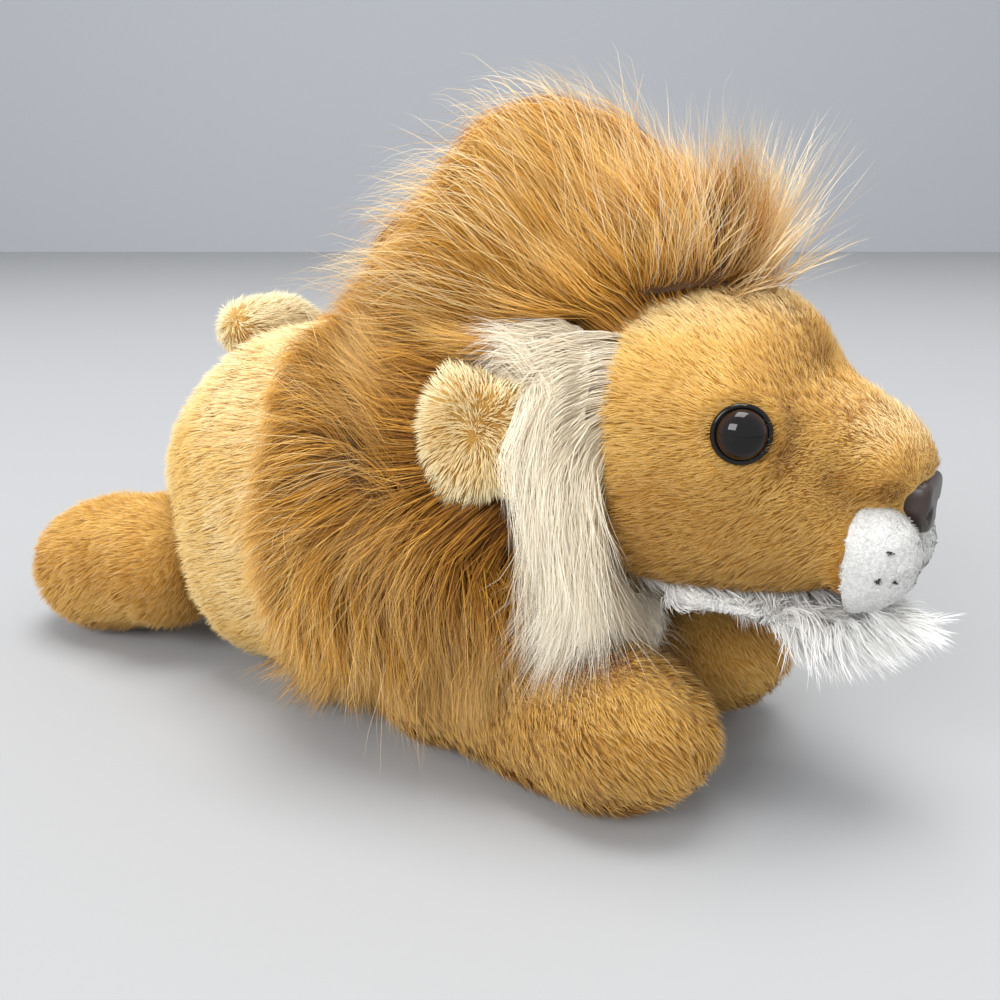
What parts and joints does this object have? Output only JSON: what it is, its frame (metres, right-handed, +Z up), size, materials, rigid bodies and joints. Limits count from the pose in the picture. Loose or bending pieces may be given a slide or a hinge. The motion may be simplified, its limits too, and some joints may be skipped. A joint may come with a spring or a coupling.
{
  "type": "plush_animal",
  "caption": "Plush lion that lies on its belly: stuffed torso, head and legs, long pile mane, ruffs and beard, safety eyes, moulded nose, soft ears and a tail with a tuft.",
  "frame": {"origin": "On the floor under the toy: the middle of the flat belly it lies on.", "axes": "+X points from the rump to the nose, +Y to the lion's left, +Z up."},
  "size_m": [0.27, 0.1283, 0.1544],
  "materials": {
    "tan_plush": "matte",
    "brown_long_pile": "matte",
    "cream_long_pile": "matte",
    "white_long_pile": "matte",
    "polyester_fibre": "matte",
    "eye_plastic": "gloss",
    "nose_plastic": "satin",
    "washer_plastic": "matte"
  },
  "bodies": {
    "torso": {"torso_skin": "tan_plush", "torso_stuffing": "polyester_fibre", "mane_collar": "brown_long_pile", "chest_bib": "cream_long_pile"},
    "head": {"head_skin": "tan_plush", "head_stuffing": "polyester_fibre", "mane_crest": "brown_long_pile", "beard": "white_long_pile", "muzzle_patch": "white_long_pile", "ruff_left": "cream_long_pile", "ruff_right": "cream_long_pile", "eye_left": "eye_plastic", "eye_right": "eye_plastic", "eye_washer_left": "washer_plastic", "eye_washer_right": "washer_plastic", "nose": "nose_plastic", "nose_washer": "washer_plastic"},
    "ear_left": {"ear_left": "tan_plush"},
    "ear_right": {"ear_right": "tan_plush"},
    "front_leg_left": {"front_leg_left_skin": "tan_plush", "front_leg_left_stuffing": "polyester_fibre"},
    "front_leg_right": {"front_leg_right_skin": "tan_plush", "front_leg_right_stuffing": "polyester_fibre"},
    "hind_leg_left": {"hind_leg_left_skin": "tan_plush", "hind_leg_left_stuffing": "polyester_fibre"},
    "hind_leg_right": {"hind_leg_right_skin": "tan_plush", "hind_leg_right_stuffing": "polyester_fibre"},
    "tail": {"tail": "tan_plush", "tail_tuft": "brown_long_pile"}
  },
  "joints": [
    {"name": "head_nod", "type": "hinge", "parent": "torso", "child": "head", "pos_m": [0.025, 0, 0.062], "axis": [0, -1, 0], "range_deg": [-3, 10], "stiffness_Nm_per_rad": 8},
    {"name": "ear_left_bend", "type": "hinge", "parent": "head", "child": "ear_left", "pos_m": [0.049, 0.038, 0.085], "axis": [0, 0, -1], "range_deg": [0, 20], "stiffness_Nm_per_rad": 0.05},
    {"name": "ear_right_bend", "type": "hinge", "parent": "head", "child": "ear_right", "pos_m": [0.049, -0.038, 0.085], "axis": [0, 0, 1], "range_deg": [0, 20], "stiffness_Nm_per_rad": 0.05},
    {"name": "front_leg_left_splay", "type": "hinge", "parent": "torso", "child": "front_leg_left", "pos_m": [0.022, 0.0265, 0.0185], "axis": [0, 0, 1], "range_deg": [0, 25]},
    {"name": "front_leg_right_splay", "type": "hinge", "parent": "torso", "child": "front_leg_right", "pos_m": [0.022, -0.0265, 0.0185], "axis": [0, 0, -1], "range_deg": [0, 25]},
    {"name": "hind_leg_left_splay", "type": "hinge", "parent": "torso", "child": "hind_leg_left", "pos_m": [-0.082, 0.0235, 0.0285], "axis": [0, 0, -1], "range_deg": [0, 25]},
    {"name": "hind_leg_right_splay", "type": "hinge", "parent": "torso", "child": "hind_leg_right", "pos_m": [-0.082, -0.0235, 0.0285], "axis": [0, 0, 1], "range_deg": [0, 25]},
    {"name": "tail_lift", "type": "hinge", "parent": "torso", "child": "tail", "pos_m": [-0.069, 0.004, 0.096], "axis": [1, 0, 0], "range_deg": [0, 35]}
  ]
}
